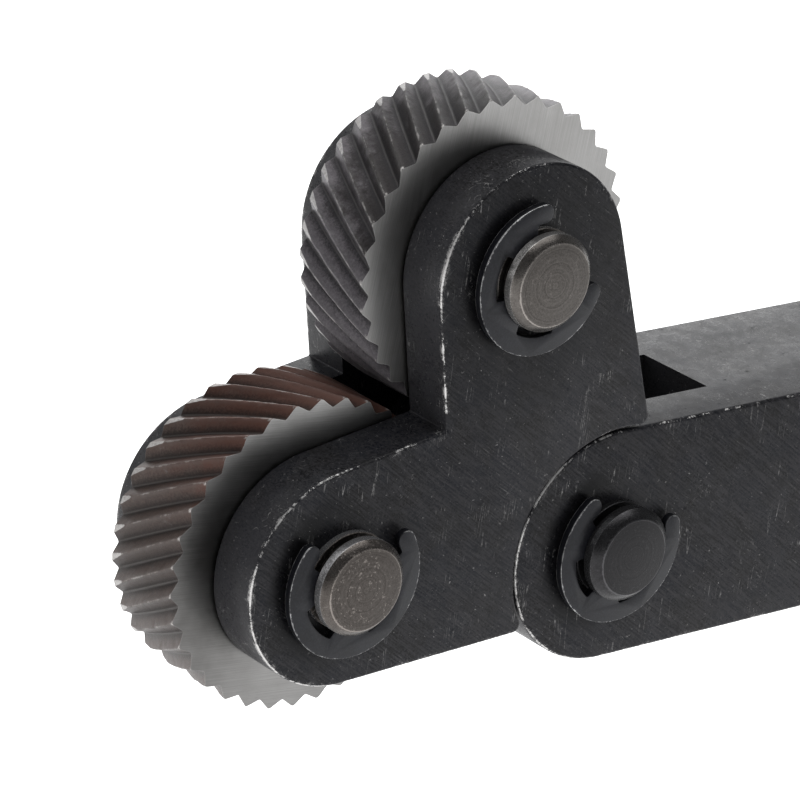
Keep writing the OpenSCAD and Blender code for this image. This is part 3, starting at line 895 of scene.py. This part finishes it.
# %% Geometry Nodes helpers
class Tree:
    """A Geometry Nodes tree under construction, with named inputs."""

    def __init__(self, name, inputs):
        self.group = bpy.data.node_groups.new(name, "GeometryNodeTree")
        sockets = {"Geometry": "NodeSocketGeometry", **inputs}
        for label, kind in sockets.items():
            self.group.interface.new_socket(label, in_out="INPUT", socket_type=kind)
        self.group.interface.new_socket("Geometry", in_out="OUTPUT",
                                        socket_type="NodeSocketGeometry")
        given = self.group.nodes.new("NodeGroupInput").outputs
        self.given = {label: Link(self, given[label]) for label in sockets}

    def node(self, kind, sockets=None, output=0, **settings):
        """Adds a node, with its sockets by name or number, and returns one output."""
        return Link(self, added(self.group, kind, settings, sockets).outputs[output])

    def math(self, operation, *values):
        return self.node("ShaderNodeMath", dict(enumerate(values)), operation=operation)

    def joined(self, *parts):
        join = self.group.nodes.new("GeometryNodeJoinGeometry")
        for part in reversed(parts):
            self.group.links.new(part.socket, join.inputs[0])
        return Link(self, join.outputs[0])

    def end(self, geometry, material):
        """Realizes and paints what the tree made."""
        real = self.node("GeometryNodeRealizeInstances", {0: geometry})
        painted = self.node("GeometryNodeSetMaterial", {"Geometry": real, "Material": material})
        self.group.links.new(painted.socket, self.group.nodes.new("NodeGroupOutput").inputs[0])


def grown(name, tree, mesh, values):
    """Runs a tree on a mesh with the named values and returns the result as a plain object."""
    host = bpy.data.objects.new(name, mesh)
    bpy.context.scene.collection.objects.link(host)
    modifier = host.modifiers.new("grow", "NODES")
    modifier.node_group = tree.group
    for item in tree.group.interface.items_tree:
        if item.in_out == "INPUT" and item.name in values:
            modifier[item.identifier] = values[item.name]
    bpy.context.view_layer.update()
    evaluated = host.evaluated_get(bpy.context.evaluated_depsgraph_get())
    result = bpy.data.meshes.new_from_object(evaluated)
    host.modifiers.clear()
    host.data = result
    result.name = name
    return host


# %% Put a clip in each groove
clip_tree = Tree("clips_on_pins", {"Clip": "NodeSocketObject", "Finish": "NodeSocketMaterial"})
turn = clip_tree.node("GeometryNodeInputNamedAttribute", {"Name": "opening"}, data_type="FLOAT")
rotation = clip_tree.node("ShaderNodeCombineXYZ", {1: turn})
clip_shape = clip_tree.node("GeometryNodeObjectInfo", {0: clip_tree.given["Clip"]}, "Geometry")
placed = clip_tree.node("GeometryNodeInstanceOnPoints", {
    "Points": clip_tree.given["Geometry"], "Instance": clip_shape, "Rotation": rotation})
clip_tree.end(placed, clip_tree.given["Finish"])


def clips(name, body, places, nodes):
    """places are centre, grip width and the left and right clips' openings in degrees."""
    points = bpy.data.meshes.new(name)
    spots, turns = [], []
    for centre, grip, openings in places:
        for side, opening in zip((-1, 1), openings):
            y = PIN_SLIDE + side * (grip / 2 + CLIP_PLAY + CLIP_T / 2)
            spots.append((centre.x, y, centre.z))
            turns.append(-math.radians(opening))
    points.from_pydata(spots, [], [])
    points.attributes.new("opening", "FLOAT", "POINT").data.foreach_set("value", turns)
    piece = grown(name, clip_tree, points, {"Clip": one_clip, "Finish": SPRING})
    smooth_between_edges(piece)
    seat(piece, body, "clip_steel", *nodes)


UPPER_OPENINGS, LOWER_OPENINGS, PIVOT_OPENINGS = (73, 215), (123, 260), (71, 130)
tilt = math.degrees(SWING)
clips("head_clips", "head",
      [(PIN_AT["upper"], HEAD_W, [a - tilt for a in UPPER_OPENINGS]),
       (PIN_AT["lower"], HEAD_W, [a - tilt for a in LOWER_OPENINGS])],
      ["upper_left_clip", "upper_right_clip", "lower_left_clip", "lower_right_clip"])
clips("pivot_clips", "shank", [(PIVOT, SHANK_W, PIVOT_OPENINGS)],
      ["pivot_left_clip", "pivot_right_clip"])
bpy.data.objects.remove(one_clip)

# %% [markdown]
# ## The wheels
# A helical wheel follows one rule all the way: a star with as many points as teeth, drawn along
# its axis and twisted as it goes. So it is grown by Geometry Nodes. The star is drawn a little
# too large and turned down to the wheel's diameter, which leaves the narrow land that a real
# hobbed wheel has along each tip, and its grooves are stopped short at the root in the same way.
# Then the teeth get a fine edge break at one end and a long shallow bevel at the other, and the
# whole is twisted: right-handed on one wheel, left on the other.

# %% The rule for a helical wheel
wheel_tree = Tree("helical_wheel", {
    "Teeth": "NodeSocketInt", "Star Outside": "NodeSocketFloat", "Star Inside": "NodeSocketFloat",
    "Tip Radius": "NodeSocketFloat", "Root Radius": "NodeSocketFloat", "Bore": "NodeSocketFloat",
    "Width": "NodeSocketFloat", "Twist": "NodeSocketFloat", "Phase": "NodeSocketFloat",
    "End Bevel": "NodeSocketFloat", "Bevel Drop": "NodeSocketFloat",
    "Edge Break": "NodeSocketFloat", "Nicks": "NodeSocketFloat",
    "Tip Rounding": "NodeSocketFloat", "Finish": "NodeSocketMaterial"})
tree, size = wheel_tree, wheel_tree.given
# into how many steps each stretch along the axis, each side of a tooth and the bore are cut
EDGE_ROWS, TOOTH_ROWS, BEVEL_ROWS, SIDE_CUTS, BORE_STEPS = 3, 41, 12, 11, 160
star = tree.node("GeometryNodeCurveStar", {
    "Points": size["Teeth"], "Inner Radius": size["Star Inside"],
    "Outer Radius": size["Star Outside"], "Twist": 0.0})
star = tree.node("GeometryNodeSubdivideCurve", {"Curve": star, "Cuts": SIDE_CUTS})
bore = tree.node("GeometryNodeCurvePrimitiveCircle", {
    "Radius": size["Bore"], "Resolution": BORE_STEPS})


def level(z):
    return tree.node("ShaderNodeCombineXYZ", {2: z})


far = size["Width"] * 0.5
near = far * -1.0
near_in, far_in = near + size["Edge Break"], far - size["End Bevel"]
runs = []
for low, high, rows in ((near, near_in, EDGE_ROWS), (near_in, far_in, TOOTH_ROWS),
                        (far_in, far, BEVEL_ROWS)):
    line = tree.node("GeometryNodeCurvePrimitiveLine", {"Start": level(low), "End": level(high)})
    runs.append(tree.node("GeometryNodeResampleCurve", {"Curve": line, "Count": rows}))
band = tree.node("GeometryNodeCurveToMesh", {"Curve": tree.joined(*runs), "Profile Curve": star})
wall = tree.node("GeometryNodeCurveToMesh", {"Curve": tree.joined(*runs), "Profile Curve": bore})
disc = tree.node("GeometryNodeFillCurve", {"Curve": tree.joined(star, bore)})
faces = [tree.node("GeometryNodeTransform", {"Geometry": disc, "Translation": level(z)})
         for z in (near, far)]
blank = tree.node("GeometryNodeMergeByDistance", {
    "Geometry": tree.joined(band, wall, *faces), "Distance": 1e-6})
print("wheel tree:", len(wheel_tree.group.nodes), "nodes so far")

# %% [markdown]
# Every point of the blank knows its distance from the axis and its place along it, so the lathe
# work is one Set Position: the radius is held under the tip, over the root and under each end's
# bevel cone. Points of the bore stay where they are.

# %% Turn down, bevel and twist the blank
NICK_WAVES = 900.0  # waves per metre of the noise behind the nicks
place = tree.node("GeometryNodeInputPosition")
x, y, z = (tree.node("ShaderNodeSeparateXYZ", {0: place}, k) for k in range(3))
radius = tree.math("SQRT", x * x + y * y)
is_tooth = tree.math("GREATER_THAN", radius, size["Star Inside"] * 0.9)  # and not the bore
worn_tip = tree.math("SMOOTH_MIN", radius, size["Tip Radius"], size["Tip Rounding"])
turned_r = worn_tip.at_least(size["Root Radius"])
far_cone = size["Tip Radius"] + (far_in - z) * (size["Bevel Drop"] / size["End Bevel"])
near_cone = size["Tip Radius"] - near_in + z
rough = tree.node("ShaderNodeTexNoise", {"Vector": place, "Scale": NICK_WAVES, "Detail": 2.0})
nick = (rough - 0.5).at_least(0.0) * size["Nicks"]
height = (turned_r - size["Root Radius"]) / (size["Tip Radius"] - size["Root Radius"])
final_r = (turned_r - nick * height).at_most(far_cone.at_most(near_cone))
shape = final_r / radius * is_tooth + (1.0 - is_tooth)
flat_place = tree.node("ShaderNodeCombineXYZ", {0: x * shape, 1: y * shape, 2: z})
angle = size["Phase"] + (z / size["Width"] + 0.5) * size["Twist"]
twisted = tree.node("ShaderNodeVectorRotate", {"Vector": flat_place, "Angle": angle},
                    rotation_type="Z_AXIS")
formed = tree.node("GeometryNodeSetPosition", {"Geometry": blank, "Position": twisted})
wheel_tree.end(formed, size["Finish"])
print("wheel tree:", len(wheel_tree.group.nodes), "nodes in all")

# %% [markdown]
# The tree grows the wheel about the Z axis. The finished mesh is laid over onto the Y axis and
# carried to its pin, and the printed phase says where a tooth's tip meets the left face, which
# has to be where the CAD has it.

# %% Grow the two wheels
TEETH, HELIX = 34, 30
BORE_PLAY, SPARE = 0.05 * MM, 0.004 * MM  # SPARE keeps the rounded tips inside the CAD's box
TIP_UPPER, TIP_LOWER = 118.8, 120.8  # where a tip meets the left face, in degrees
WHEEL_TWIST = WHEEL_W * math.tan(math.radians(HELIX)) / WHEEL_R
root_r = WHEEL_R - TOOTH_DEPTH
wheel_sizes = {
    "Teeth": TEETH, "Width": WHEEL_W, "Bore": PIN_R + BORE_PLAY,
    "Star Outside": WHEEL_R + 0.05 * MM, "Star Inside": root_r - 0.04 * MM,
    "Tip Radius": WHEEL_R - SPARE, "Root Radius": root_r,
    "End Bevel": END_BEVEL, "Bevel Drop": BEVEL_DROP, "Edge Break": 0.06 * MM,
    "Nicks": 0.3 * MM, "Tip Rounding": 0.08 * MM}


def wheel(name, which, phase, hand):
    """phase is the direction of a tip at the left face, in degrees; hand is the way it twists."""
    values = {**wheel_sizes, "Phase": -math.radians(phase), "Twist": -hand * WHEEL_TWIST,
              "Finish": WHEEL_STEEL[which]}
    piece = grown(name, wheel_tree, bpy.data.meshes.new(name), values)
    centre = PIN_AT[which]
    lay_over = Matrix.Translation(centre) @ Matrix.Rotation(-math.pi / 2, 4, "X")
    piece.data.transform(lay_over)
    bm = bmesh.new()
    bm.from_mesh(piece.data)
    bmesh.ops.remove_doubles(bm, verts=bm.verts, dist=TOUCHING)
    bmesh.ops.recalc_face_normals(bm, faces=bm.faces)
    bm.to_mesh(piece.data)
    open_edges = sum(len(e.link_faces) != 2 for e in bm.edges)
    left_tips = [v.co - centre for v in bm.verts if v.co.y < centre.y - WHEEL_W / 2 + 0.08 * MM]
    far_out = max(left_tips, key=lambda p: p.x ** 2 + p.z ** 2)
    bm.free()
    step = 360 / TEETH
    tip_angle = math.degrees(math.atan2(far_out.z, far_out.x))
    print(name, "tip", round((tip_angle - phase + step / 2) % step - step / 2, 2),
          "degrees off, open edges", open_edges)
    smooth_between_edges(piece, 22)
    seat(piece, which + "_wheel", "wheel_steel", which + "_wheel")


wheel("upper_knurl", "upper", TIP_UPPER, -1)
wheel("lower_knurl", "lower", TIP_LOWER, 1)

# %% [markdown]
# ## Floor and light
# The tool is shown over plain pale card, which lies just low enough for the head to swing all
# the way down. One large soft light hangs over it, a second fills from behind, a narrow one picks
# out the teeth from the left, and a pale sky evens out the rest, so that the black film stays
# dark to the front while the upper faces pick up the light behind them.

# %% Floor
FLOOR_HALF, FLOOR_GAP = 3.0, 0.5 * MM
head_reach = (PIN_AT["lower"] - PIVOT).length + WHEEL_R
bm = bmesh.new()
bmesh.ops.create_grid(bm, x_segments=1, y_segments=1, size=FLOOR_HALF)
bmesh.ops.translate(bm, verts=bm.verts, vec=(0, 0, PIVOT.z - head_reach - FLOOR_GAP))
card = Finish("pale_card")
card_grain = card.noise(card.place, 0.8, 3.0)
card_colour = card.colour(card_grain, (0.86, 0.86, 0.86), (0.88, 0.88, 0.88))
card.finish(card_colour, 0.0, 0.9, card_grain, 0.001 * MM,
            **{"Specular IOR Level": 0.0, "Emission Color": (1, 1, 1, 1),
               "Emission Strength": 0.92})
floor = new_piece("floor", bm, card.material)
print("floor", round(head_reach / MM, 1), "mm and a little below the pivot")

# %% Lights
LIT_POINT = Vector((-0.06, 0, 0.02))
SKY_COLOUR, SKY_STRENGTH = (0.95, 0.97, 1.0, 1), 0.27


def softbox(name, place, width, height, watts):
    """A large soft light at a place, aimed at the head."""
    light = bpy.data.lights.new(name, "AREA")
    light.shape, light.size, light.size_y = "RECTANGLE", width, height
    light.energy = watts
    lamp = bpy.data.objects.new(name, light)
    lamp.location = place
    lamp.rotation_mode = "QUATERNION"
    lamp.rotation_quaternion = (LIT_POINT - Vector(place)).to_track_quat("-Z", "Y")
    bpy.context.scene.collection.objects.link(lamp)


softbox("overhead", (0.05, 0.0, 0.8), width=0.8, height=0.8, watts=5)
softbox("behind", (0.45, 0.80, 0.42), width=1.0, height=0.8, watts=5.5)
softbox("strip", (-0.42, 0.62, 0.46), width=0.26, height=0.6, watts=1.3)
world = bpy.data.worlds.new("sky")
world.use_nodes = True
sky = world.node_tree.nodes["Background"].inputs
sky["Color"].default_value, sky["Strength"].default_value = SKY_COLOUR, SKY_STRENGTH
bpy.context.scene.world = world
bpy.context.scene.view_settings.view_transform = "Standard"
